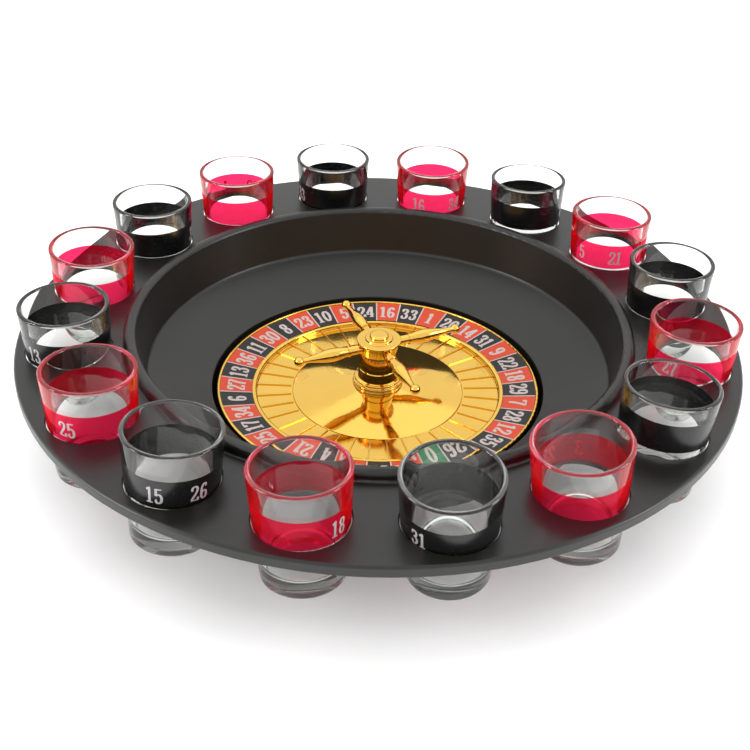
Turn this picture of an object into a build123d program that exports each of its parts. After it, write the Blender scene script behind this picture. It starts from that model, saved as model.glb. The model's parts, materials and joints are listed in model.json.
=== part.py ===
from build123d import *
import math
import os

# Drinking-roulette wheel: a tray with a sunken roulette wheel and sixteen shot glasses.
# Millimetres, +Z up. The origin is on the table, under the middle of the wheel.
# Heights named *_Z are measured from the top face of the flange, which lies
# FLANGE_HEIGHT above the table, and lift() moves each finished piece to its place.

FLANGE_HEIGHT = 44.5

# Tray
TRAY_R = 150.0
WALL = 2.2
SKIRT_DEPTH = 4.5
SKIRT_WALL = 1.8
COLLAR_TOP_Z = 4.3
COLLAR_INNER_R = 101.5
COLLAR_OUTER_R = 106.4
BOWL_FOOT_R = 98.6
BOWL_FOOT_Z = -16.8
TRACK_INNER_R = 71.8
TRACK_INNER_Z = -27.8
WELL_FLOOR_Z = -38.0
BOSS_R = 13.0
BOSS_TOP_Z = -36.3
BOSS_RECESS_R = 10.0
HOLE_R = 17.2
HOLE_EDGE_R = 0.5

# Feet
FOOT_R = 7.0
FOOT_RING_R = 58.0
FOOT_SEAT_DEPTH = 0.8
FOOT_EDGE_R = 0.9
FOOT_COUNT = 4

# Spindle and what holds it
SPINDLE_R = 3.0
SPINDLE_TOP_Z = -28.6
SPINDLE_FLANGE_R = 6.5
SPINDLE_FLANGE_T = 1.0
GROOVE_R = 2.4
THREAD_R = 2.5
THREAD_END_Z = -43.0
SPINDLE_CHAMFER = 0.4
WASHER_R = 6.0
WASHER_T = 1.0
NUT_ACROSS_FLATS = 8.0
NUT_T = 2.7
THRUST_T = 0.6
THRUST_CLEARANCE = 0.15
CLIP_R = 4.9
CLIP_T = 0.6
CLIP_MOUTH = 3.4

# Rotor
ROTOR_R = 69.9
RIM_TOP_Z = -28.7
RIM_WIDTH = 1.4
SKIRT_END_Z = -35.2
LABEL_OUTER_Z = -29.6
LABEL_INNER_R = 54.8
LABEL_INNER_Z = -31.2
LABEL_T = 0.2
RIDGE_TOP_Z = -30.7
RIDGE_R = 0.9
RIDGE_LABEL_SIDE_R = 0.3
POCKET_OUTER_R = 52.8
POCKET_FLOOR_Z = -33.0
CONE_SEAT_R = 37.4
CONE_SEAT_Z = -33.4
ROTOR_UNDERSIDE_Z = -34.7
ROTOR_SHELL = 1.5
HUB_R = 8.0
HUB_TOP_Z = -27.2
CLIP_RECESS_R = 6.6
POCKETS = 37
RIB_T = 0.6
RIB_TOP_Z = -32.4
RIB_INNER_R = 37.9
POCKET_16_ANGLE = 87.0

# Bush
BUSH_R = 5.0
BUSH_TOP_Z = -30.2
BUSH_CLEARANCE = 0.05

# Cone
CONE_R = 37.2
CONE_EDGE_Z = -32.8
CONE_TOP_R = 10.8
CONE_TOP_Z = -29.0
CONE_T = 1.1

# Turret
BASE_TOP_Z = -25.0
COLUMN_TOP_Z = -13.0
COLUMN_FOOT_R = 8.8
COLUMN_BAND_R = 8.5
COLUMN_BAND_Z = -20.6
COLUMN_NECK_R = 7.8
BAND_GROOVE = 0.3
HEAD_R = 8.2
HEAD_TOP_Z = -8.2
CAP_R = 9.5
CAP_TOP_Z = -7.0
STEP_R = 5.7
STEP_TOP_Z = -6.1
BUTTON_R = 4.1
BUTTON_TOP_Z = -4.6
ROD_R = 1.5
ROD_TOP_Z = -6.4
ROD_END_Z = -26.8

# Turret arms
ARM_ANGLES = [25.1, 115.1, 205.1, 295.1]
ARM_Z = -10.3
ARM_BALL_AT = 36.4
ARM_BALL_R = 2.15
ARM_STUB_R = 1.2
ARM_STUB_START = 3.6
ARM_NECK_R = 2.0
ARM_COLLAR_AT = 13.8
ARM_COLLAR_R = 2.4
ARM_COLLAR_W = 0.7
ARM_BELLY_AT = 21.8
ARM_BELLY_R = 2.85
ARM_TIP_AT = 35.0
ARM_TIP_R = 1.2

# Ball
BALL_R = 3.0
BALL_AT_R = 41.0
BALL_CLEARANCE = 0.2

# Shot glasses
GLASSES = 16
GLASS_RING_R = 128.26
FIRST_GLASS_ANGLE = 102.0
GLASS_RIM_R = 18.2
GLASS_RIM_Z = 21.1
GLASS_FOOT_R = 15.3
GLASS_FOOT_Z = -23.6
GLASS_WALL = 1.9
GLASS_BASE = 6.0
GLASS_FOOT_EDGE_R = 1.0
GLASS_INSIDE_EDGE_R = 2.5

# A loose glass leans a little in its hole: degrees towards +X and towards +Y.
GLASS_LEANS = {
    1: (0, -2.5),
    2: (0, 2),
    6: (2.5, 2),
    7: (-4.5, -2.5),
    8: (-1, -5),
    9: (-1.5, 2),
    10: (3.5, 2),
    11: (1, 1.5),
    13: (2.5, -1.5),
}


def outline(corners):
    """Closed outline in the XZ plane from (radius, height, corner radius) triples."""
    points = [(r, 0, z) for r, z, _ in corners]
    radii = [corner for _, _, corner in corners]
    return make_face(FilletPolyline(*points, radius=radii, close=True))


def turned(corners):
    """Solid turned about Z from (radius, height, corner radius) triples."""
    return revolve(outline(corners), Axis.Z)


def ring(outer_r, inner_r, low_z, high_z, edge_r=0):
    """Plain flat ring about Z, with all four edges rounded by edge_r."""
    return turned([
        (inner_r, low_z, edge_r),
        (outer_r, low_z, edge_r),
        (outer_r, high_z, edge_r),
        (inner_r, high_z, edge_r),
    ])


def polar(radius, angle, z=0):
    """Point at a radius and an angle in degrees about Z."""
    return (
        radius * math.cos(math.radians(angle)),
        radius * math.sin(math.radians(angle)),
        z,
    )


def lift(solid):
    """Move a piece from flange heights to its height above the table."""
    return Pos(0, 0, FLANGE_HEIGHT) * solid


def glass_angle(index):
    """Angle of a glass about Z. The glasses are counted clockwise from the back."""
    return FIRST_GLASS_ANGLE - index * 360 / GLASSES


def make_tray():
    """Moulded tray: flange with holes, collar, bowl wall, ball track, well and boss."""
    track_slope = (BOWL_FOOT_Z - TRACK_INNER_Z) / (BOWL_FOOT_R - TRACK_INNER_R)
    track_drop = WALL * math.hypot(1, track_slope)
    bowl_draft = (COLLAR_INNER_R - BOWL_FOOT_R) / (COLLAR_TOP_Z - BOWL_FOOT_Z)
    bowl_outer_top_r = BOWL_FOOT_R + WALL - bowl_draft * (BOWL_FOOT_Z + WALL)
    bowl_outer_foot_r = BOWL_FOOT_R + WALL
    bowl_outer_foot_z = BOWL_FOOT_Z + WALL * track_slope - track_drop
    well_outer_r = TRACK_INNER_R + WALL
    well_outer_top_z = TRACK_INNER_Z + WALL * track_slope - track_drop
    floor_z = WELL_FLOOR_Z - WALL
    recess_z = BOSS_TOP_Z - WALL
    tray = turned([
        (THREAD_R, BOSS_TOP_Z, 0),
        (BOSS_R, BOSS_TOP_Z, 0.6),
        (BOSS_R, WELL_FLOOR_Z, 0.8),
        (TRACK_INNER_R, WELL_FLOOR_Z, 2.0),
        (TRACK_INNER_R, TRACK_INNER_Z, 0.5),
        (BOWL_FOOT_R, BOWL_FOOT_Z, 1.8),
        (COLLAR_INNER_R, COLLAR_TOP_Z, 1.8),
        (COLLAR_OUTER_R, COLLAR_TOP_Z, 2.2),
        (COLLAR_OUTER_R, 0, 0.8),
        (TRAY_R, 0, 1.2),
        (TRAY_R, -SKIRT_DEPTH, 0.5),
        (TRAY_R - SKIRT_WALL, -SKIRT_DEPTH, 0.5),
        (TRAY_R - SKIRT_WALL, -WALL, 0.5),
        (bowl_outer_top_r, -WALL, 1.0),
        (bowl_outer_foot_r, bowl_outer_foot_z, 2.0),
        (well_outer_r, well_outer_top_z, 0.8),
        (well_outer_r, floor_z, 2.5),
        (BOSS_RECESS_R, floor_z, 0.5),
        (BOSS_RECESS_R, recess_z, 0.5),
        (THREAD_R, recess_z, 0),
    ])
    hole = Cylinder(HOLE_R, 3 * SKIRT_DEPTH)
    for index in range(GLASSES):
        tray -= Pos(*polar(GLASS_RING_R, glass_angle(index))) * hole
    hole_edges = tray.edges().filter_by(GeomType.CIRCLE).filter_by(
        lambda edge: abs(edge.radius - HOLE_R) < HOLE_EDGE_R and edge.center().Z > -WALL / 2
    )
    tray = fillet(hole_edges, HOLE_EDGE_R)
    seat = Cylinder(FOOT_R, 2 * FOOT_SEAT_DEPTH)
    for index in range(FOOT_COUNT):
        tray -= Pos(*polar(FOOT_RING_R, foot_angle(index), floor_z)) * seat
    return tray


def foot_angle(index):
    """Angle of a rubber foot about Z."""
    return 45 + index * 360 / FOOT_COUNT


def make_foot(index):
    """Rubber foot, set in a shallow seat under the well."""
    top_z = WELL_FLOOR_Z - WALL + FOOT_SEAT_DEPTH
    foot = turned([
        (0, -FLANGE_HEIGHT, 0),
        (FOOT_R - 0.6, -FLANGE_HEIGHT, FOOT_EDGE_R),
        (FOOT_R, top_z - FOOT_SEAT_DEPTH, 0),
        (FOOT_R, top_z, 0),
        (0, top_z, 0),
    ])
    return Pos(*polar(FOOT_RING_R, foot_angle(index))) * foot


def make_spindle():
    """Steel pin with a flange that sits on the boss, a clip groove and a threaded tail."""
    flange_top_z = BOSS_TOP_Z + SPINDLE_FLANGE_T
    groove_low_z = BUSH_TOP_Z + THRUST_CLEARANCE
    return turned([
        (0, THREAD_END_Z, 0),
        (THREAD_R, THREAD_END_Z, SPINDLE_CHAMFER),
        (THREAD_R, BOSS_TOP_Z, 0),
        (SPINDLE_FLANGE_R, BOSS_TOP_Z, 0.2),
        (SPINDLE_FLANGE_R, flange_top_z, 0.2),
        (SPINDLE_R, flange_top_z, 0),
        (SPINDLE_R, groove_low_z, 0),
        (GROOVE_R, groove_low_z, 0),
        (GROOVE_R, groove_low_z + CLIP_T, 0),
        (SPINDLE_R, groove_low_z + CLIP_T, 0),
        (SPINDLE_R, SPINDLE_TOP_Z, SPINDLE_CHAMFER),
        (0, SPINDLE_TOP_Z, 0),
    ])


def make_spindle_washer():
    """Steel washer between the tray's underside and the nut."""
    top_z = BOSS_TOP_Z - WALL
    return ring(WASHER_R, THREAD_R, top_z - WASHER_T, top_z, 0.2)


def make_spindle_nut():
    """Thin hexagon nut on the spindle's tail."""
    top_z = BOSS_TOP_Z - WALL - WASHER_T
    hexagon = RegularPolygon(NUT_ACROSS_FLATS / 2, 6, major_radius=False)
    nut = Pos(0, 0, top_z - NUT_T) * extrude(hexagon, NUT_T)
    corner_r = NUT_ACROSS_FLATS / math.sqrt(3)
    crown = ring(corner_r, THREAD_R, top_z - NUT_T, top_z, 0.4)
    return nut & crown


def make_thrust_washer():
    """Nylon washer that carries the rotor's hub on the spindle's flange."""
    low_z = BOSS_TOP_Z + SPINDLE_FLANGE_T
    return ring(SPINDLE_FLANGE_R, SPINDLE_R, low_z, low_z + THRUST_T, 0.1)


def make_retaining_clip():
    """Spring clip in the spindle's groove, open at one side."""
    low_z = BUSH_TOP_Z + THRUST_CLEARANCE
    clip = ring(CLIP_R, GROOVE_R, low_z, low_z + CLIP_T)
    mouth = Pos(CLIP_R / 2, 0, low_z + CLIP_T / 2) * Box(CLIP_R, CLIP_MOUTH, 2 * CLIP_T)
    return clip - mouth


def make_rotor():
    """Plated wheel: hub, pocket floor, ridge, label seat, rim and 37 ribs."""
    seat_outer_r = ROTOR_R - RIM_WIDTH
    skirt_inner_r = ROTOR_R - ROTOR_SHELL
    rotor = turned([
        (BUSH_R, ROTOR_UNDERSIDE_Z, 0),
        (BUSH_R, BUSH_TOP_Z, 0),
        (CLIP_RECESS_R, BUSH_TOP_Z, 0),
        (CLIP_RECESS_R, HUB_TOP_Z, 0),
        (HUB_R, HUB_TOP_Z, 0),
        (HUB_R, CONE_SEAT_Z, 0),
        (CONE_SEAT_R, CONE_SEAT_Z, 0),
        (CONE_SEAT_R, POCKET_FLOOR_Z, 0),
        (POCKET_OUTER_R, POCKET_FLOOR_Z, 0.4),
        (POCKET_OUTER_R, RIDGE_TOP_Z, RIDGE_R),
        (LABEL_INNER_R, RIDGE_TOP_Z, RIDGE_LABEL_SIDE_R),
        (LABEL_INNER_R, LABEL_INNER_Z, 0),
        (seat_outer_r, LABEL_OUTER_Z, 0),
        (seat_outer_r, RIM_TOP_Z, 0.4),
        (ROTOR_R, RIM_TOP_Z, 0.6),
        (ROTOR_R, SKIRT_END_Z, 0.3),
        (skirt_inner_r, SKIRT_END_Z, 0.3),
        (skirt_inner_r, LABEL_OUTER_Z - ROTOR_SHELL, 0.8),
        (LABEL_INNER_R, LABEL_INNER_Z - ROTOR_SHELL, 0.8),
        (LABEL_INNER_R, ROTOR_UNDERSIDE_Z, 0.5),
    ])
    rib_length = POCKET_OUTER_R - RIB_INNER_R + RIDGE_R
    rib_height = RIB_TOP_Z - POCKET_FLOOR_Z + RIB_T
    rib = Box(rib_length, RIB_T, rib_height)
    rib = fillet(rib.edges().filter_by(Axis.X).group_by(Axis.Z)[-1], RIB_T / 3)
    rib = Pos(RIB_INNER_R + rib_length / 2, 0, RIB_TOP_Z - rib_height / 2) * rib
    first_rib = POCKET_16_ANGLE + 180 / POCKETS
    ribs = [Rot(0, 0, first_rib + index * 360 / POCKETS) * rib for index in range(POCKETS)]
    return rotor + ribs


def make_rotor_bush():
    """Brass bush pressed into the rotor's hub."""
    return ring(BUSH_R, SPINDLE_R + BUSH_CLEARANCE, ROTOR_UNDERSIDE_Z, BUSH_TOP_Z)


def make_number_ring():
    """Printed label in its seat between the ridge and the rim."""
    seat_outer_r = ROTOR_R - RIM_WIDTH
    return turned([
        (LABEL_INNER_R, LABEL_INNER_Z, 0),
        (seat_outer_r, LABEL_OUTER_Z, 0),
        (seat_outer_r, LABEL_OUTER_Z + LABEL_T, 0),
        (LABEL_INNER_R, LABEL_INNER_Z + LABEL_T, 0),
    ])


def make_cone():
    """Shallow plated cone over the rotor's inner floor, held down by the turret."""
    return turned([
        (HUB_R, CONE_TOP_Z, 0),
        (CONE_TOP_R, CONE_TOP_Z, 1.0),
        (CONE_R, CONE_EDGE_Z, 0.25),
        (CONE_R, CONE_SEAT_Z, 0),
        (CONE_R - CONE_T, CONE_SEAT_Z, 0),
        (CONE_TOP_R, CONE_TOP_Z - CONE_T, 0.5),
        (HUB_R, CONE_TOP_Z - CONE_T, 0),
    ])


def make_turret_base():
    """Three stacked beads. The skirt screws on to the rotor's hub."""
    beads = [(11.0, -29.0, -28.2), (10.8, -27.6, -26.8), (10.2, -26.2, -25.4)]
    cove = 0.6
    corners = [(HUB_R, beads[0][1], 0)]
    for bead_r, low_z, high_z in beads:
        corners += [
            (bead_r - cove, low_z, 0),
            (bead_r, low_z + 0.1, 0.3),
            (bead_r, high_z, 0.3),
            (bead_r - cove, high_z + 0.1, 0.2),
        ]
    corners += [
        (COLUMN_FOOT_R, BASE_TOP_Z, 0),
        (ROD_R, BASE_TOP_Z, 0),
        (ROD_R, HUB_TOP_Z, 0),
        (HUB_R, HUB_TOP_Z, 0),
    ]
    return turned(corners)


def make_turret_column():
    """Bell-shaped column with a scribed band line."""
    foot = (COLUMN_FOOT_R, 0, BASE_TOP_Z)
    groove_low = (COLUMN_BAND_R, 0, COLUMN_BAND_Z - BAND_GROOVE)
    groove_mid = (COLUMN_BAND_R - BAND_GROOVE, 0, COLUMN_BAND_Z)
    groove_high = (COLUMN_BAND_R, 0, COLUMN_BAND_Z + BAND_GROOVE)
    neck = (COLUMN_NECK_R, 0, COLUMN_TOP_Z)
    side = [
        Spline(foot, groove_low, tangents=[(-0.1, 0, 1), (0, 0, 1)]),
        Polyline(groove_low, groove_mid, groove_high),
        Spline(groove_high, neck, tangents=[(-0.05, 0, 1), (-0.2, 0, 1)]),
        Polyline(neck, (ROD_R, 0, COLUMN_TOP_Z), (ROD_R, 0, BASE_TOP_Z), foot),
    ]
    return revolve(make_face(side), Axis.Z)


def make_turret_head():
    """Collar under the cap, with a socket for each arm."""
    head = turned([
        (ROD_R, COLUMN_TOP_Z, 0),
        (HEAD_R, COLUMN_TOP_Z, 0.5),
        (HEAD_R, HEAD_TOP_Z, 0),
        (ROD_R, HEAD_TOP_Z, 0),
    ])
    depth = HEAD_R - ARM_STUB_START
    socket = Pos(ARM_STUB_START + depth, 0, ARM_Z) * Rot(0, 90, 0) * Cylinder(
        ARM_STUB_R, 2 * depth
    )
    for angle in ARM_ANGLES:
        head -= Rot(0, 0, angle) * socket
    return head


def make_arm(index):
    """Turned arm: stub, neck, collar, baluster and ball end."""
    collar_end = ARM_COLLAR_AT + ARM_COLLAR_W
    ball_meet = ARM_BALL_AT - math.sqrt(ARM_BALL_R**2 - ARM_TIP_R**2)
    belly = [
        (collar_end, 0, ARM_NECK_R),
        (ARM_BELLY_AT, 0, ARM_BELLY_R),
        (ARM_TIP_AT - ARM_BALL_R, 0, ARM_TIP_R),
        (ball_meet, 0, ARM_TIP_R),
    ]
    side = [
        Polyline(
            (ball_meet, 0, 0),
            (ARM_STUB_START, 0, 0),
            (ARM_STUB_START, 0, ARM_STUB_R),
            (HEAD_R, 0, ARM_STUB_R),
            (HEAD_R, 0, ARM_NECK_R),
            (ARM_COLLAR_AT, 0, ARM_NECK_R),
            (ARM_COLLAR_AT, 0, ARM_COLLAR_R),
            (collar_end, 0, ARM_COLLAR_R),
            (collar_end, 0, ARM_NECK_R),
        ),
        Spline(*belly, tangents=[(1, 0, 0.12), (1, 0, 0)]),
        Line((ball_meet, 0, ARM_TIP_R), (ball_meet, 0, 0)),
    ]
    arm = revolve(make_face(side), Axis.X)
    arm += Pos(ARM_BALL_AT, 0, 0) * Sphere(ARM_BALL_R)
    return Rot(0, 0, ARM_ANGLES[index]) * Pos(0, 0, ARM_Z) * arm


def make_turret_cap():
    """Cap: flat disc, low step and a domed button."""
    return turned([
        (0, HEAD_TOP_Z, 0),
        (CAP_R - 0.4, HEAD_TOP_Z, 0.2),
        (CAP_R, HEAD_TOP_Z + 0.4, 0.2),
        (CAP_R, CAP_TOP_Z, 0.4),
        (STEP_R + 0.4, CAP_TOP_Z, 0.3),
        (STEP_R, STEP_TOP_Z, 0.4),
        (BUTTON_R, STEP_TOP_Z - 0.1, 0.2),
        (BUTTON_R, BUTTON_TOP_Z, 1.3),
        (0, BUTTON_TOP_Z, 0),
    ]) - Pos(0, 0, HEAD_TOP_Z) * Cylinder(ROD_R, 2 * (ROD_TOP_Z - HEAD_TOP_Z))


def make_turret_rod():
    """Threaded rod that clamps cap, head, column and base together."""
    return turned([
        (0, ROD_END_Z, 0),
        (ROD_R, ROD_END_Z, 0.2),
        (ROD_R, ROD_TOP_Z, 0),
        (0, ROD_TOP_Z, 0),
    ])


def make_ball():
    """Steel ball, lying in the pocket of number 16."""
    height = POCKET_FLOOR_Z + BALL_R + BALL_CLEARANCE
    return Pos(*polar(BALL_AT_R, POCKET_16_ANGLE, height)) * Sphere(BALL_R)


def make_glass(index):
    """Tapered shot glass with a thick base, hanging in its hole."""
    taper = (GLASS_RIM_R - GLASS_FOOT_R) / (GLASS_RIM_Z - GLASS_FOOT_Z)
    floor_z = GLASS_FOOT_Z + GLASS_BASE
    floor_r = GLASS_FOOT_R + taper * GLASS_BASE - GLASS_WALL
    glass = turned([
        (0, GLASS_FOOT_Z, 0),
        (GLASS_FOOT_R, GLASS_FOOT_Z, GLASS_FOOT_EDGE_R),
        (GLASS_RIM_R, GLASS_RIM_Z, GLASS_WALL / 2.2),
        (GLASS_RIM_R - GLASS_WALL, GLASS_RIM_Z, GLASS_WALL / 2.2),
        (floor_r, floor_z, GLASS_INSIDE_EDGE_R),
        (0, floor_z, 0),
    ])
    lean_x, lean_y = GLASS_LEANS.get(index, (0, 0))
    along_x = math.sin(math.radians(lean_x))
    along_y = math.sin(math.radians(lean_y))
    upright = math.sqrt(1 - along_x**2 - along_y**2)
    place = Plane(
        origin=polar(GLASS_RING_R, glass_angle(index)),
        z_dir=(along_x, along_y, upright),
    )
    return place.location * glass


def all_pieces():
    """Every piece of the set, by node name."""
    pieces = {
        "tray": make_tray(),
        "spindle": make_spindle(),
        "spindle_washer": make_spindle_washer(),
        "spindle_nut": make_spindle_nut(),
        "thrust_washer": make_thrust_washer(),
        "retaining_clip": make_retaining_clip(),
        "rotor": make_rotor(),
        "rotor_bush": make_rotor_bush(),
        "number_ring": make_number_ring(),
        "cone": make_cone(),
        "turret_base": make_turret_base(),
        "turret_column": make_turret_column(),
        "turret_head": make_turret_head(),
        "turret_cap": make_turret_cap(),
        "turret_rod": make_turret_rod(),
        "ball": make_ball(),
    }
    for index in range(FOOT_COUNT):
        pieces[f"foot_{index + 1}"] = make_foot(index)
    for index in range(len(ARM_ANGLES)):
        pieces[f"turret_arm_{index + 1}"] = make_arm(index)
    for index in range(GLASSES):
        pieces[f"shot_glass_{index + 1:02d}"] = make_glass(index)
    return pieces


os.makedirs("parts", exist_ok=True)
for name, piece in all_pieces().items():
    export_step(lift(piece), f"parts/{name}.step")
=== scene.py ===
import json
import math

import bmesh
import bpy
from mathutils import Matrix, Vector


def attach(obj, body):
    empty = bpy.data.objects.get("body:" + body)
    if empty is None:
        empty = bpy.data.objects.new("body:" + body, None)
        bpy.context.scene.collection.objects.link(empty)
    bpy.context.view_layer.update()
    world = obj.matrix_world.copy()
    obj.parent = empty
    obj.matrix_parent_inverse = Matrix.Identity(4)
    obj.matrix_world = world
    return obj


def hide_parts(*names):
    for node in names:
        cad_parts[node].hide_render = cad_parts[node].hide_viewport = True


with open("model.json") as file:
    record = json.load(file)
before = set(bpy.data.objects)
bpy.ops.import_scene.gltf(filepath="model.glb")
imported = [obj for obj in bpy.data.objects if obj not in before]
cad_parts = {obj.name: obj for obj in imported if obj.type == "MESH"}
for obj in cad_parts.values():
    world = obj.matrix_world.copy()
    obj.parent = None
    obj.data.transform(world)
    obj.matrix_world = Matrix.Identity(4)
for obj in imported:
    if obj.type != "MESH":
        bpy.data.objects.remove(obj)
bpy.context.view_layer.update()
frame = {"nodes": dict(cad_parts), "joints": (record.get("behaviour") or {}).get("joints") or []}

# A drinking-roulette set. Metres; heights named *_Z are from the top face of the tray's flange.
MM = 0.001
FLANGE_Z = 44.5 * MM

# Camera
CAMERA_LENS = 57.5
CAMERA_DISTANCE = 507.4 * MM
CAMERA_ELEVATION = math.radians(33.6)
CAMERA_AZIMUTH = math.radians(0.6)
CAMERA_ROLL = math.radians(1.6)
CAMERA_SLIDE_RIGHT = -1.9 * MM
CAMERA_SLIDE_UP = -21.4 * MM

# Shot glasses
GLASSES = 16
GLASS_RING_R = 128.26 * MM
FIRST_GLASS_ANGLE = 102.0
RIM_R = 18.2 * MM
RIM_Z = 21.1 * MM
FOOT_R = 15.3 * MM
FOOT_Z = -23.6 * MM
GLASS_WALL = 1.9 * MM
GLASS_BASE = 6.0 * MM
GLASS_STEPS = 96
TAPER = (RIM_R - FOOT_R) / (RIM_Z - FOOT_Z)
BAND_TOP_Z = RIM_Z - 10.2 * MM
BAND_LOW_Z = -1.1 * MM
BAND_LIFT = -0.06 * MM
BAND_T = 0.1 * MM
BAND_DIGIT_H = 6.8 * MM
BAND_DIGIT_GAP_Z = 2.2 * MM
BAND_DIGIT_WEIGHT = 0.74
# Painted rim light: heights over which the glass's rim takes the band's colour.
RIM_LIGHT_FROM_Z = FLANGE_Z + RIM_Z - 2.2 * MM
RIM_LIGHT_TO_Z = FLANGE_Z + RIM_Z - 0.5 * MM
# Painted shade: heights over which the glass below the flange turns greyer, for the shade under the
# tray.
UNDER_FLANGE_SHADE_FROM_Z = FLANGE_Z - 2 * MM
UNDER_FLANGE_SHADE_TO_Z = FLANGE_Z - 9 * MM

# The numbers printed on each glass: (number, direction in degrees that it faces).
# Black numbers are on the black bands, which have even places, and red ones on the red bands.
BAND_NUMBERS = {
    0: [(33, -153), (8, 145)],
    1: [(16, -112), (34, -50)],
    2: [(4, -20), (22, 30), (0, 80)],
    3: [(5, -141), (21, -87)],
    4: [(6, 20), (24, 70)],
    5: [(27, -131), (7, 160), (9, 110)],
    6: [(10, -10), (17, 40), (28, 90)],
    7: [(23, 129), (3, 86)],
    8: [(31, -130), (2, 170)],
    9: [(18, -39), (14, 15)],
    10: [(15, -101), (26, -49)],
    11: [(25, -108), (12, 175)],
    12: [(13, -124), (20, 160)],
    13: [(30, 76), (36, 30)],
    14: [(11, 100), (29, 50), (35, 0)],
    15: [(1, 120), (32, 70), (19, 20)],
}

# The bands were not all printed at the same height.
BAND_RAISED = {
    2: 1.8 * MM,
    3: 1.4 * MM,
    4: 0.8 * MM,
    5: 1.2 * MM,
    6: 2.8 * MM,
    12: 0.8 * MM,
    13: 0.8 * MM,
    14: 0.8 * MM,
    15: 0.8 * MM,
}

# Plating
GOLD = (0.87, 0.545, 0.11)
GOLD_ROUGHNESS = 0.05

# Stage
FLOOR_HALF = 4.0
FLOOR_GLOW = 0.5
FLOOR_GLOW_FROM_R = 130 * MM
FLOOR_GLOW_FULL_R = 210 * MM
WORLD_STRENGTH = 1.1
LIGHT_BOUNCES = 32  # the thick glass walls go black with fewer
CAMERA_CLIP_END = 20

# Number ring
WHEEL_ORDER = [
    0, 32, 15, 19, 4, 21, 2, 25, 17, 34, 6, 27, 13, 36, 11, 30, 8, 23, 10,
    5, 24, 16, 33, 1, 20, 14, 31, 9, 22, 18, 29, 7, 28, 12, 35, 3, 26,
]
RED_NUMBERS = {1, 3, 5, 7, 9, 12, 14, 16, 18, 19, 21, 23, 25, 27, 30, 32, 34, 36}
POCKETS = len(WHEEL_ORDER)
ANGLE_OF_16 = 87.0
LABEL_OUTER_R = 68.5 * MM
LABEL_OUTER_Z = -29.6 * MM
LABEL_INNER_R = 54.8 * MM
LABEL_INNER_Z = -31.2 * MM
LABEL_T = 0.2 * MM
INK_T = 0.02 * MM
DIVIDER_W = 0.55 * MM
DIGIT_H = 7.9 * MM
DIGIT_BOTTOM_R = 57.6 * MM
INK_STEP = 0.004 * MM
INK_LAYERS = 6
RING_DIGIT_WEIGHT = 0.92
LABEL_ROWS = 4
SECTOR_STEPS = 10


# ---------------------------------------------------------------- node helpers

def material(name):
    """New node material with only an output node."""
    mat = bpy.data.materials.new(name)
    mat.use_nodes = True
    mat.node_tree.nodes.clear()
    mat.node_tree.nodes.new("ShaderNodeOutputMaterial")
    return mat


def add(mat, kind, **values):
    """Add a node and set its attributes or inputs by name."""
    node = mat.node_tree.nodes.new(kind)
    for key, value in values.items():
        if key in node.inputs:
            node.inputs[key].default_value = value
        elif key.replace("_", " ") in node.inputs:
            node.inputs[key.replace("_", " ")].default_value = value
        else:
            setattr(node, key, value)
    return node


def link(mat, source, target):
    """Join an output socket to an input socket."""
    mat.node_tree.links.new(source, target)


def finish_with(mat, shader_socket):
    """Send a shader to the material's output."""
    output = next(n for n in mat.node_tree.nodes if n.type == "OUTPUT_MATERIAL")
    link(mat, shader_socket, output.inputs["Surface"])
    return mat


def position(mat):
    """Object-space coordinates, so that the pattern rides with the piece."""
    return add(mat, "ShaderNodeTexCoord").outputs["Object"]


def noise(mat, scale, detail=4.0, roughness=0.55):
    """Noise value over the object's own coordinates. scale is features per metre."""
    node = add(mat, "ShaderNodeTexNoise", Scale=scale, Detail=detail, Roughness=roughness)
    link(mat, position(mat), node.inputs["Vector"])
    return node.outputs["Fac"]


def spread(mat, value, low, high, from_low=0.3, from_high=0.7):
    """Map a 0..1 value to low..high."""
    node = add(mat, "ShaderNodeMapRange", clamp=True)
    node.inputs["From Min"].default_value = from_low
    node.inputs["From Max"].default_value = from_high
    node.inputs["To Min"].default_value = low
    node.inputs["To Max"].default_value = high
    link(mat, value, node.inputs["Value"])
    return node.outputs["Result"]


def tint(mat, value, dark, light):
    """Blend from a dark colour, or a colour socket, to a light colour by a 0..1 value."""
    node = add(mat, "ShaderNodeMix", data_type="RGBA")
    colours = [s for s in node.inputs if s.type == "RGBA"]
    if isinstance(dark, tuple):
        colours[0].default_value = (*dark, 1)
    else:
        link(mat, dark, colours[0])
    colours[1].default_value = (*light, 1)
    link(mat, value, node.inputs["Factor"])
    return next(s for s in node.outputs if s.type == "RGBA")


def bump(mat, height, strength, distance):
    """Normal from a height value."""
    node = add(mat, "ShaderNodeBump", Strength=strength, Distance=distance)
    link(mat, height, node.inputs["Height"])
    return node.outputs["Normal"]


# ------------------------------------------------------------------- materials

def black_plastic():
    """Satin black moulded plastic: fine grain, a little cloudiness in the gloss."""
    mat = material("black_plastic")
    grain = noise(mat, 3200, detail=3)
    cloud = noise(mat, 26, detail=5)
    shader = add(mat, "ShaderNodeBsdfPrincipled")
    shader.inputs["IOR"].default_value = 1.5
    colour = tint(mat, cloud, (0.006, 0.006, 0.0055), (0.011, 0.011, 0.0095))
    link(mat, colour, shader.inputs["Base Color"])
    link(mat, spread(mat, cloud, 0.30, 0.36), shader.inputs["Roughness"])
    link(mat, bump(mat, grain, 0.25, 0.00006), shader.inputs["Normal"])
    return finish_with(mat, shader.outputs["BSDF"])


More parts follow.
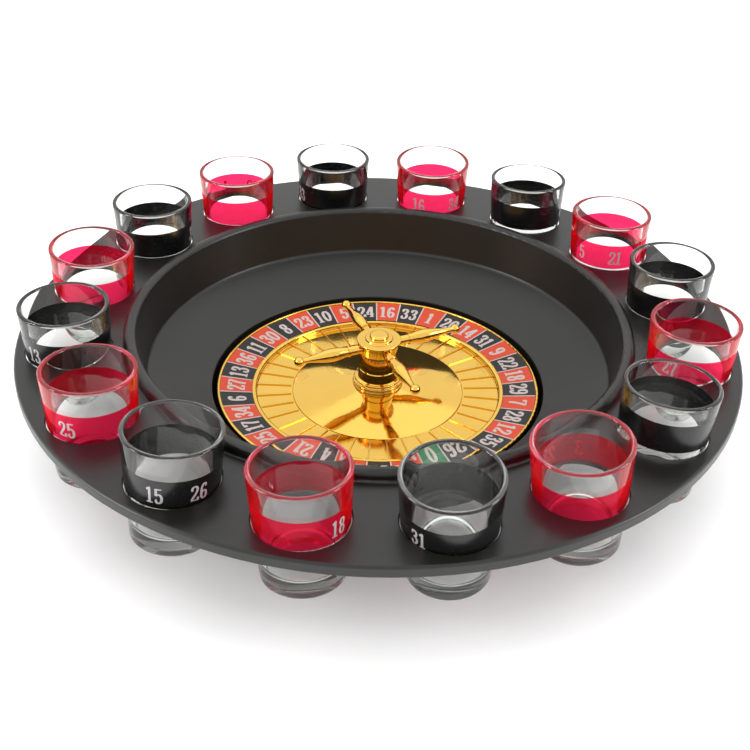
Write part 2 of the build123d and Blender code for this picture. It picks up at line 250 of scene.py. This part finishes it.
def gold_plate(name, colour, roughness):
    """Bright vacuum plating over moulded plastic: slight waviness and hazy patches."""
    mat = material(name)
    wave = noise(mat, 130, detail=2)
    haze = noise(mat, 60, detail=6)
    shader = add(mat, "ShaderNodeBsdfPrincipled", Metallic=1.0)
    deep = tuple(0.86 * c for c in colour)
    link(mat, tint(mat, haze, deep, colour), shader.inputs["Base Color"])
    link(mat, spread(mat, haze, roughness, roughness * 2.2), shader.inputs["Roughness"])
    link(mat, bump(mat, wave, 0.12, 0.0002), shader.inputs["Normal"])
    return finish_with(mat, shader.outputs["BSDF"])


def clear_glass(name, painted_rim_light):
    """Clear pressed glass. The rim is painted with the band's colour, a painted light standing in
    for light piped up the wall, and the glass below the flange is painted greyer, a painted shade
    standing in for the shade under the tray."""
    mat = material(name)
    ripple = noise(mat, 60, detail=1)
    height = add(mat, "ShaderNodeSeparateXYZ")
    link(mat, position(mat), height.inputs["Vector"])
    # Painted light: the rim is coloured with the band's colour, standing in for light piped up the
    # wall.
    rim_light_mask = spread(mat, height.outputs["Z"], 0, 1, RIM_LIGHT_FROM_Z, RIM_LIGHT_TO_Z)
    # Painted shade: the glass below the flange turns greyer, standing in for the shade under the
    # tray.
    under_flange_shade = spread(mat, height.outputs["Z"], 1, 0, UNDER_FLANGE_SHADE_TO_Z, UNDER_FLANGE_SHADE_FROM_Z)
    colour = tint(mat, rim_light_mask, (0.985, 0.985, 0.98), painted_rim_light)
    colour = tint(mat, under_flange_shade, colour, (0.86, 0.87, 0.86))
    glass = add(mat, "ShaderNodeBsdfGlass", IOR=1.48)
    glass.inputs["Roughness"].default_value = 0.0
    link(mat, colour, glass.inputs["Color"])
    link(mat, bump(mat, ripple, 0.04, 0.0002), glass.inputs["Normal"])
    clear = add(mat, "ShaderNodeBsdfTransparent")
    clear.inputs["Color"].default_value = (0.93, 0.94, 0.935, 1)
    path = add(mat, "ShaderNodeLightPath")
    mix = add(mat, "ShaderNodeMixShader")
    link(mat, path.outputs["Is Shadow Ray"], mix.inputs["Fac"])
    link(mat, glass.outputs["BSDF"], mix.inputs[1])
    link(mat, clear.outputs["BSDF"], mix.inputs[2])
    return finish_with(mat, mix.outputs["Shader"])


def filter_ink(name, cover_low, cover_high, surface, through):
    """Translucent printed ink: part pigment, part colour filter, uneven like a screen print."""
    mat = material(name)
    cover = spread(mat, noise(mat, 420, detail=4), cover_low, cover_high)
    body = add(mat, "ShaderNodeBsdfPrincipled", Roughness=0.2)
    body.inputs["Base Color"].default_value = (*surface, 1)
    lens = add(mat, "ShaderNodeBsdfTransparent")
    lens.inputs["Color"].default_value = (*through, 1)
    mix = add(mat, "ShaderNodeMixShader")
    link(mat, cover, mix.inputs["Fac"])
    link(mat, lens.outputs["BSDF"], mix.inputs[1])
    link(mat, body.outputs["BSDF"], mix.inputs[2])
    return finish_with(mat, mix.outputs["Shader"])


def ink(name, dark, light, roughness):
    """Opaque printed ink with a faint mottle."""
    mat = material(name)
    mottle = noise(mat, 600, detail=5)
    shader = add(mat, "ShaderNodeBsdfPrincipled")
    link(mat, tint(mat, mottle, dark, light), shader.inputs["Base Color"])
    link(mat, spread(mat, mottle, roughness, roughness * 1.4), shader.inputs["Roughness"])
    return finish_with(mat, shader.outputs["BSDF"])


def turned_metal(name, colour, roughness):
    """Turned metal: rings of fine tool marks about the vertical axis."""
    mat = material(name)
    marks = add(mat, "ShaderNodeTexWave", wave_type="RINGS", rings_direction="Z")
    marks.inputs["Scale"].default_value = 900
    marks.inputs["Distortion"].default_value = 0.6
    marks.inputs["Detail"].default_value = 3
    link(mat, position(mat), marks.inputs["Vector"])
    rings = marks.outputs["Fac"]
    shader = add(mat, "ShaderNodeBsdfPrincipled", Metallic=1.0)
    dark = tuple(0.8 * c for c in colour)
    link(mat, tint(mat, rings, dark, colour), shader.inputs["Base Color"])
    link(mat, spread(mat, rings, roughness, roughness * 1.5), shader.inputs["Roughness"])
    link(mat, bump(mat, rings, 0.2, 0.00002), shader.inputs["Normal"])
    return finish_with(mat, shader.outputs["BSDF"])


def dull(name, dark, light, roughness, grain):
    """Rubber or nylon: matt, with a soft grain."""
    mat = material(name)
    rough = noise(mat, grain, detail=6)
    shader = add(mat, "ShaderNodeBsdfPrincipled")
    link(mat, tint(mat, rough, dark, light), shader.inputs["Base Color"])
    link(mat, spread(mat, rough, roughness, min(1.0, roughness * 1.2)), shader.inputs["Roughness"])
    link(mat, bump(mat, rough, 0.3, 0.0001), shader.inputs["Normal"])
    return finish_with(mat, shader.outputs["BSDF"])


# -------------------------------------------------------------------- mesh code

def new_piece(name, verts, faces, mats, face_mats=None, smooth_angle=35):
    """Mesh object from lists, shaded smooth up to smooth_angle."""
    mesh = bpy.data.meshes.new(name)
    mesh.from_pydata(verts, [], faces)
    for mat in mats:
        mesh.materials.append(mat)
    if face_mats:
        mesh.polygons.foreach_set("material_index", face_mats)
    piece = bpy.data.objects.new(name, mesh)
    bpy.context.scene.collection.objects.link(piece)
    tidy = bmesh.new()
    tidy.from_mesh(mesh)
    bmesh.ops.recalc_face_normals(tidy, faces=tidy.faces)
    tidy.to_mesh(mesh)
    tidy.free()
    mesh.shade_smooth()
    mesh.set_sharp_from_angle(angle=math.radians(smooth_angle))
    return piece


def rounded(corners, steps=6):
    """Outline points from (radius, height, corner radius) triples, with arcs at the corners."""
    points = []
    last = len(corners) - 1
    for i, (r, z, corner) in enumerate(corners):
        here = Vector((r, z))
        if corner == 0 or i in (0, last):
            points.append(here)
            continue
        back = Vector(corners[i - 1][:2]) - here
        ahead = Vector(corners[i + 1][:2]) - here
        half = back.angle(ahead) / 2
        cut = corner / math.tan(half)
        inward = (back.normalized() + ahead.normalized()).normalized()
        centre = here + inward * corner / math.sin(half)
        first = here + back.normalized() * cut - centre
        turn = first.angle_signed(here + ahead.normalized() * cut - centre)
        for step in range(steps + 1):
            arm = first.copy()
            arm.rotate(Matrix.Rotation(-turn * step / steps, 2))
            points.append(centre + arm)
    return points


def lathe(outline, steps, closed=False):
    """Vertices and faces of an outline turned about Z. Points on the axis become one vertex."""
    verts, rings, faces = [], [], []
    for r, z in outline:
        if r < 1e-7:
            rings.append([len(verts)] * steps)
            verts.append((0, 0, z))
            continue
        rings.append(list(range(len(verts), len(verts) + steps)))
        for i in range(steps):
            angle = 2 * math.pi * i / steps
            verts.append((r * math.cos(angle), r * math.sin(angle), z))
    pairs = list(zip(rings, rings[1:]))
    if closed:
        pairs.append((rings[-1], rings[0]))
    for low, high in pairs:
        for i in range(steps):
            j = (i + 1) % steps
            corners = [low[i], low[j], high[j], high[i]]
            faces.append(list(dict.fromkeys(corners)))
    return verts, faces


# ---------------------------------------------------------------------- digits

# Each digit is one unit tall, drawn with a broad pen: strokes are thick where the pen
# travels up or down and thin where it travels sideways.
THICK = 0.205
THIN = 0.085
SQUEEZE = 0.9
ADVANCE = 0.58
NARROW_ADVANCE = 0.47
GLYPH_WIDTH = 0.56
GLYPHS = {
    "0": [("loop", (0.28, 0.5), (0.185, 0.455))],
    "1": [
        ("line", [(0.27, 0.0), (0.27, 1.0)]),
        ("line", [(0.08, 0.04), (0.46, 0.04)]),
        ("line", [(0.27, 0.955), (0.10, 0.82)]),
    ],
    "2": [
        ("curve", [(0.11, 0.73), (0.15, 0.88), (0.27, 0.955), (0.42, 0.87), (0.445, 0.70),
                   (0.36, 0.50), (0.22, 0.30), (0.10, 0.10)]),
        ("line", [(0.06, 0.07), (0.48, 0.07)]),
        ("line", [(0.475, 0.03), (0.495, 0.24)]),
        ("dot", (0.135, 0.73), 0.085),
    ],
    "3": [
        ("curve", [(0.12, 0.79), (0.18, 0.92), (0.28, 0.955), (0.40, 0.87), (0.40, 0.68),
                   (0.32, 0.56), (0.20, 0.53)]),
        ("curve", [(0.20, 0.53), (0.35, 0.50), (0.44, 0.36), (0.42, 0.15), (0.28, 0.045),
                   (0.17, 0.08), (0.11, 0.22)]),
        ("dot", (0.135, 0.77), 0.085),
        ("dot", (0.13, 0.24), 0.085),
    ],
    "4": [
        ("line", [(0.38, 0.0), (0.38, 1.0)]),
        ("line", [(0.36, 0.96), (0.06, 0.30)]),
        ("line", [(0.03, 0.27), (0.54, 0.27)]),
        ("line", [(0.24, 0.035), (0.52, 0.035)]),
    ],
    "5": [
        ("line", [(0.13, 0.50), (0.14, 0.95)]),
        ("line", [(0.10, 0.92), (0.45, 0.92)]),
        ("curve", [(0.13, 0.51), (0.22, 0.59), (0.34, 0.58), (0.44, 0.44), (0.42, 0.16),
                   (0.28, 0.045), (0.17, 0.07), (0.11, 0.20)]),
        ("dot", (0.13, 0.22), 0.085),
    ],
    "6": [
        ("loop", (0.29, 0.28), (0.165, 0.235)),
        ("curve", [(0.43, 0.82), (0.38, 0.93), (0.30, 0.955), (0.18, 0.84), (0.125, 0.60),
                   (0.125, 0.28)]),
        ("dot", (0.405, 0.81), 0.08),
    ],
    "7": [
        ("line", [(0.06, 0.92), (0.50, 0.92)]),
        ("line", [(0.075, 0.97), (0.065, 0.74)]),
        ("curve", [(0.48, 0.93), (0.37, 0.64), (0.27, 0.34), (0.24, 0.0)]),
    ],
    "8": [
        ("loop", (0.28, 0.745), (0.145, 0.21)),
        ("loop", (0.28, 0.275), (0.165, 0.23)),
    ],
}


def upside_down(strokes):
    """A digit turned half round, which makes a 9 of a 6."""
    turned = []
    for kind, *rest in strokes:
        if kind in ("line", "curve"):
            turned.append((kind, [(GLYPH_WIDTH - x, 1 - y) for x, y in rest[0]]))
        else:
            (x, y), size = rest
            turned.append((kind, (GLYPH_WIDTH - x, 1 - y), size))
    return turned


GLYPHS["9"] = upside_down(GLYPHS["6"])


def along(points, steps_each=6):
    """Smooth line through points, as a Catmull-Rom curve."""
    ends = [points[0], *points, points[-1]]
    line = []
    for a, b, c, d in zip(ends, ends[1:], ends[2:], ends[3:]):
        for step in range(steps_each):
            t = step / steps_each
            line.append(tuple(
                0.5 * (2 * q + (r - p) * t + (2 * p - 5 * q + 4 * r - s) * t**2
                       + (3 * q - p - 3 * r + s) * t**3)
                for p, q, r, s in zip(a, b, c, d)
            ))
    return line + [points[-1]]


def ellipse(centre, radii, steps=36):
    """Points round an ellipse."""
    turns = [2 * math.pi * i / steps for i in range(steps)]
    return [(centre[0] + radii[0] * math.cos(t), centre[1] + radii[1] * math.sin(t)) for t in turns]


def pen_edges(line, closed, thick, thin):
    """Left and right edge points of a stroke of the broad pen along a line."""
    left, right = [], []
    count = len(line)
    for i, here in enumerate(line):
        before = line[i - 1] if closed or i else here
        after = line[(i + 1) % count] if closed or i < count - 1 else here
        way = (Vector(after) - Vector(before)).normalized()
        half = (thin + (thick - thin) * abs(way.y)) / 2
        side = Vector((-way.y, way.x)) * half
        left.append(Vector(here) + side)
        right.append(Vector(here) - side)
    return left, right


class Print:
    """Collects thin printed shapes, each laid on a surface by a place(u, v, lift) function."""

    def __init__(self):
        self.verts = []
        self.faces = []
        self.layer = 0

    def strip(self, left, right, closed, place):
        """A closed thin solid between two edges. Later strips lie a hair higher."""
        base = len(self.verts)
        top = self.layer * INK_STEP + INK_T
        self.layer = (self.layer + 1) % INK_LAYERS
        count = len(left)
        for a, b in zip(left, right):
            self.verts += [place(*a, 0), place(*b, 0), place(*b, top), place(*a, top)]
        for i in range(count if closed else count - 1):
            here, there = base + 4 * i, base + 4 * ((i + 1) % count)
            for j in range(4):
                k = (j + 1) % 4
                self.faces.append([here + j, here + k, there + k, there + j])
        if not closed:
            last = base + 4 * (count - 1)
            self.faces.append([base, base + 1, base + 2, base + 3])
            self.faces.append([last + 3, last + 2, last + 1, last])

    def dot(self, centre, radius, place):
        """A round dot, as a strip from its left side to its right side."""
        steps = 12
        turns = [math.pi * (i + 0.5) / steps for i in range(steps)]
        top = [Vector(centre) + radius * Vector((-math.cos(t), math.sin(t))) for t in turns]
        low = [Vector(centre) + radius * Vector((-math.cos(t), -math.sin(t))) for t in turns]
        self.strip(top, low, False, place)

    def number(self, value, height, weight, place):
        """A number, centred on u = 0 and standing on v = 0."""
        text = str(value)
        widths = [NARROW_ADVANCE if d == "1" else ADVANCE for d in text]
        start = -sum(widths) / 2
        for digit, width in zip(text, widths):
            def spot(u, v, lift, start=start, width=width):
                u_mid = start + u + (width - ADVANCE) / 2 + 0.01
                return place(u_mid * SQUEEZE * height, v * height, lift)
            for kind, *shape in GLYPHS[digit]:
                if kind == "dot":
                    self.dot(shape[0], shape[1] * weight, spot)
                    continue
                closed = kind == "loop"
                if closed:
                    line = ellipse(*shape)
                elif kind == "curve":
                    line = along(shape[0])
                else:
                    line = [Vector(shape[0][0]).lerp(Vector(shape[0][1]), i / 4) for i in range(5)]
                left, right = pen_edges(line, closed, THICK * weight, THIN * (0.4 + 0.6 * weight))
                self.strip(left, right, closed, spot)
            start += width

    def piece(self, name, mat):
        """The collected shapes as one mesh object."""
        return new_piece(name, self.verts, self.faces, [mat], smooth_angle=20)


# ------------------------------------------------------------------ number ring

def ring_place(angle, base_r):
    """Lays (u, v) flat on the label's cone, upright when seen from the middle of the wheel."""
    slope = (LABEL_OUTER_Z - LABEL_INNER_Z) / (LABEL_OUTER_R - LABEL_INNER_R)
    middle_r = base_r + DIGIT_H / 2

    def place(u, v, lift):
        r = base_r + v
        turn = math.radians(angle) - u / middle_r
        z = FLANGE_Z + LABEL_INNER_Z + slope * (r - LABEL_INNER_R) + LABEL_T + lift
        return (r * math.cos(turn), r * math.sin(turn), z)

    return place


def sector_angle(index):
    """Angle of a number on the wheel. The order runs clockwise."""
    return ANGLE_OF_16 - (index - WHEEL_ORDER.index(16)) * 360 / POCKETS


def build_number_ring(mats):
    """Label with coloured sectors, white dividers and numbers. It replaces the CAD label."""
    rows = LABEL_ROWS
    length = LABEL_OUTER_R - LABEL_INNER_R
    rise = LABEL_OUTER_Z - LABEL_INNER_Z
    top = [
        (LABEL_INNER_R + length * i / rows, FLANGE_Z + LABEL_INNER_Z + rise * i / rows + LABEL_T)
        for i in range(rows + 1)
    ]
    under = [(LABEL_OUTER_R, FLANGE_Z + LABEL_OUTER_Z), (LABEL_INNER_R, FLANGE_Z + LABEL_INNER_Z)]
    verts, faces = lathe(top + under, POCKETS * SECTOR_STEPS, closed=True)
    first = math.radians(sector_angle(0) + 180 / POCKETS)
    spin = Matrix.Rotation(first, 3, "Z")
    verts = [tuple(spin @ Vector(v)) for v in verts]
    ring = new_piece("number_ring_print", verts, faces, mats[:4], label_face_mats(len(faces)))
    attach(ring, "rotor")
    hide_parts("number_ring")

    ink = Print()
    for index, number in enumerate(WHEEL_ORDER):
        middle = sector_angle(index)
        ink.number(number, DIGIT_H, RING_DIGIT_WEIGHT, ring_place(middle, DIGIT_BOTTOM_R))
        place = ring_place(middle + 180 / POCKETS, LABEL_INNER_R)
        line = [Vector((0, length * i / rows)) for i in range(rows + 1)]
        half = Vector((DIVIDER_W / 2, 0))
        ink.strip([p - half for p in line], [p + half for p in line], False, place)
    printed = ink.piece("number_ring_white", mats[4])
    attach(printed, "rotor")


def label_face_mats(count):
    """Material of each face of the label: its sector's colour on top, paper elsewhere."""
    red, black, green, paper = range(4)
    face_mats = []
    for index in range(count):
        row, step = divmod(index, POCKETS * SECTOR_STEPS)
        number = WHEEL_ORDER[POCKETS - 1 - step // SECTOR_STEPS]
        if row >= LABEL_ROWS:
            face_mats.append(paper)
        elif number == 0:
            face_mats.append(green)
        else:
            face_mats.append(red if number in RED_NUMBERS else black)
    return face_mats


# ---------------------------------------------------------------------- glasses

def glass_lean(index):
    """Matrix from a glass's own upright frame, centred in its hole, to its place."""
    name = f"shot_glass_{index + 1:02d}_lift"
    joint = next(j for j in frame["joints"] if j["name"] == name)
    turn = Vector((0, 0, 1)).rotation_difference(Vector(joint["axis"])).to_matrix().to_4x4()
    angle = math.radians(FIRST_GLASS_ANGLE - index * 360 / GLASSES)
    at = Vector((GLASS_RING_R * math.cos(angle), GLASS_RING_R * math.sin(angle), FLANGE_Z))
    return Matrix.Translation(at) @ turn


def glass_outline():
    """Half section of a shot glass: hollowed foot, straight taper, rounded rim, bowl."""
    floor_z = FOOT_Z + GLASS_BASE
    floor_r = FOOT_R + TAPER * GLASS_BASE - GLASS_WALL
    return rounded([
        (0, FOOT_Z + 0.9 * MM, 0),
        (9.5 * MM, FOOT_Z + 0.7 * MM, 3 * MM),
        (12.6 * MM, FOOT_Z, 1 * MM),
        (FOOT_R, FOOT_Z, 1.4 * MM),
        (RIM_R, RIM_Z, 0.86 * MM),
        (RIM_R - GLASS_WALL, RIM_Z, 0.86 * MM),
        (floor_r, floor_z, 3.2 * MM),
        (0, floor_z - 0.3 * MM, 0),
    ], steps=8)


def band_outline(raised):
    """Half section of the printed band, a film keyed into the glass's surface."""
    def at(z, lift):
        return (FOOT_R + TAPER * (z + raised - FOOT_Z) + lift, z + raised)
    low, high = BAND_LIFT, BAND_LIFT + BAND_T
    return [at(BAND_LOW_Z, low), at(BAND_LOW_Z, high), at(BAND_TOP_Z, high), at(BAND_TOP_Z, low)]


def band_place(place, raised, direction):
    """Lays (u, v) upright round a glass's band, facing a direction in degrees."""
    def spot(u, v, lift):
        z = BAND_LOW_Z + raised + BAND_DIGIT_GAP_Z + v
        r = FOOT_R + TAPER * (z - FOOT_Z) + BAND_LIFT + BAND_T + lift
        turn = math.radians(direction) + u / r
        return tuple(place @ Vector((r * math.cos(turn), r * math.sin(turn), z)))
    return spot


def build_glass(index, mats):
    """One glass, its band and its numbers."""
    red = index % 2 == 1
    name = f"shot_glass_{index + 1:02d}"
    place = glass_lean(index)
    verts, faces = lathe(glass_outline(), GLASS_STEPS)
    verts = [tuple(place @ Vector(v)) for v in verts]
    clear = mats["red_glass" if red else "dark_glass"]
    glass = new_piece(f"{name}_clear", verts, faces, [clear], smooth_angle=60)
    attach(glass, name)
    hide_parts(name)

    raised = BAND_RAISED.get(index, 0)
    verts, faces = lathe(band_outline(raised), GLASS_STEPS, closed=True)
    verts = [tuple(place @ Vector(v)) for v in verts]
    band = new_piece(f"{name}_band", verts, faces, [mats["red_ink" if red else "black_ink"]])
    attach(band, name)

    ink = Print()
    for number, direction in BAND_NUMBERS[index]:
        ink.number(number, BAND_DIGIT_H, BAND_DIGIT_WEIGHT, band_place(place, raised, direction))
    digits = ink.piece(f"{name}_digits", mats["silver_ink"])
    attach(digits, name)


# --------------------------------------------------------------- CAD materials

def dress(nodes, mat):
    """Give CAD nodes a material."""
    for node in nodes:
        for holder in frame["nodes"][node].material_slots:
            holder.material = mat


# ------------------------------------------------------------- stage and camera

def build_floor():
    """Plain pale floor, far larger than the view, glowing a little away from the set."""
    mat = material("studio_floor")
    shader = add(mat, "ShaderNodeBsdfPrincipled", Roughness=0.7)
    shader.inputs["Base Color"].default_value = (0.94, 0.94, 0.94, 1)
    shader.inputs["Emission Color"].default_value = (1, 1, 1, 1)
    distance = add(mat, "ShaderNodeVectorMath", operation="LENGTH")
    link(mat, position(mat), distance.inputs[0])
    reach = distance.outputs["Value"]
    glow = spread(mat, reach, 0.0, FLOOR_GLOW, FLOOR_GLOW_FROM_R, FLOOR_GLOW_FULL_R)
    link(mat, glow, shader.inputs["Emission Strength"])
    finish_with(mat, shader.outputs["BSDF"])
    half = FLOOR_HALF
    verts = [(-half, -half, 0), (half, -half, 0), (half, half, 0), (-half, half, 0)]
    floor = new_piece("studio_floor", verts, [(0, 1, 2, 3)], [mat])


def soft_box(name, at, width, height, power):
    """Rectangular lamp that faces the set."""
    lamp = bpy.data.lights.new(name, "AREA")
    lamp.shape = "RECTANGLE"
    lamp.size = width
    lamp.size_y = height
    lamp.energy = power
    box = bpy.data.objects.new(name, lamp)
    box.location = at
    box.rotation_euler = (-Vector(at)).to_track_quat("-Z", "Y").to_euler()
    bpy.context.scene.collection.objects.link(box)


def build_lights():
    """White surroundings, a broad soft box overhead and a narrower one at each side."""
    world = bpy.data.worlds.new("studio")
    world.use_nodes = True
    background = world.node_tree.nodes["Background"]
    background.inputs["Color"].default_value = (1, 1, 1, 1)
    background.inputs["Strength"].default_value = WORLD_STRENGTH
    bpy.context.scene.world = world
    soft_box("overhead", (-0.1, 0.35, 1.0), 1.6, 1.0, 1.7)
    soft_box("left_side", (-1.1, -0.35, 0.45), 0.35, 0.7, 6.0)
    soft_box("right_side", (1.1, -0.25, 0.45), 0.35, 0.7, 5.0)


def build_camera():
    """Camera at the front, above, looking down into the bowl."""
    camera = bpy.data.objects.new("camera", bpy.data.cameras.new("camera"))
    camera.data.lens = CAMERA_LENS
    camera.data.clip_end = CAMERA_CLIP_END
    back = Vector((0, -math.cos(CAMERA_ELEVATION), math.sin(CAMERA_ELEVATION)))
    right = Vector((1, 0, 0))
    up = back.cross(right)
    roll = Matrix.Rotation(CAMERA_ROLL, 3, back)
    right, up = roll @ right, roll @ up
    at = back * CAMERA_DISTANCE + right * CAMERA_SLIDE_RIGHT + up * CAMERA_SLIDE_UP
    frame_axes = Matrix((right, up, back)).transposed().to_4x4()
    turn = Matrix.Rotation(CAMERA_AZIMUTH, 4, "Z")
    camera.matrix_world = turn @ Matrix.Translation(at + Vector((0, 0, FLANGE_Z))) @ frame_axes
    bpy.context.scene.collection.objects.link(camera)
    bpy.context.scene.camera = camera


def main():
    """Everything in order: camera, light, materials, pieces."""
    build_camera()
    build_lights()
    build_floor()
    bpy.context.scene.view_settings.view_transform = "Standard"
    cycles = bpy.context.scene.cycles
    cycles.max_bounces = LIGHT_BOUNCES
    cycles.transmission_bounces = LIGHT_BOUNCES
    cycles.glossy_bounces = LIGHT_BOUNCES
    cycles.transparent_max_bounces = LIGHT_BOUNCES

    dress(["tray"], black_plastic())
    dress([f"foot_{i}" for i in range(1, 5)], dull("rubber", (0.012,) * 3, (0.03,) * 3, 0.8, 900))
    dress(["rotor", "cone"], gold_plate("gold_plate", GOLD, GOLD_ROUGHNESS))
    turret = [n for n in frame["nodes"] if n.startswith("turret_") and n != "turret_rod"]
    dress(turret, gold_plate("turret_gold", GOLD, GOLD_ROUGHNESS))
    steel = turned_metal("turned_steel", (0.62, 0.61, 0.6), 0.25)
    dress(["spindle", "spindle_washer", "spindle_nut", "retaining_clip", "turret_rod"], steel)
    dress(["rotor_bush"], turned_metal("turned_brass", (0.8, 0.58, 0.26), 0.25))
    dress(["thrust_washer"], dull("nylon", (0.72, 0.7, 0.64), (0.84, 0.82, 0.77), 0.45, 500))
    dress(["ball"], turned_metal("ball_steel", (0.78, 0.78, 0.79), 0.08))

    label = [
        ink("label_red", (0.62, 0.050, 0.012), (0.70, 0.065, 0.016), 0.4),
        ink("label_black", (0.006, 0.006, 0.006), (0.012, 0.012, 0.012), 0.4),
        ink("label_green", (0.01, 0.15, 0.05), (0.015, 0.20, 0.07), 0.4),
        ink("label_paper", (0.7, 0.69, 0.66), (0.76, 0.75, 0.73), 0.4),
        ink("label_white", (0.52, 0.43, 0.41), (0.62, 0.53, 0.50), 0.4),
    ]
    build_number_ring(label)
    glass_mats = {
        # The rim colours are painted light: the band's colour carried up the glass wall.
        "red_glass": clear_glass("glass_red_painted_rim", (0.97, 0.88, 0.87)),
        "dark_glass": clear_glass("glass_dark_painted_rim", (0.93, 0.93, 0.92)),
        "red_ink": filter_ink("red_ink", 0.10, 0.16, (0.97, 0.018, 0.032), (1.0, 0.18, 0.38)),
        "black_ink": ink("black_ink", (0.003,) * 3, (0.006,) * 3, 0.2),
        "silver_ink": filter_ink("silver_ink", 0.62, 0.74, (0.56, 0.54, 0.54), (0.9, 0.85, 0.85)),
    }
    for index in range(GLASSES):
        build_glass(index, glass_mats)


main()
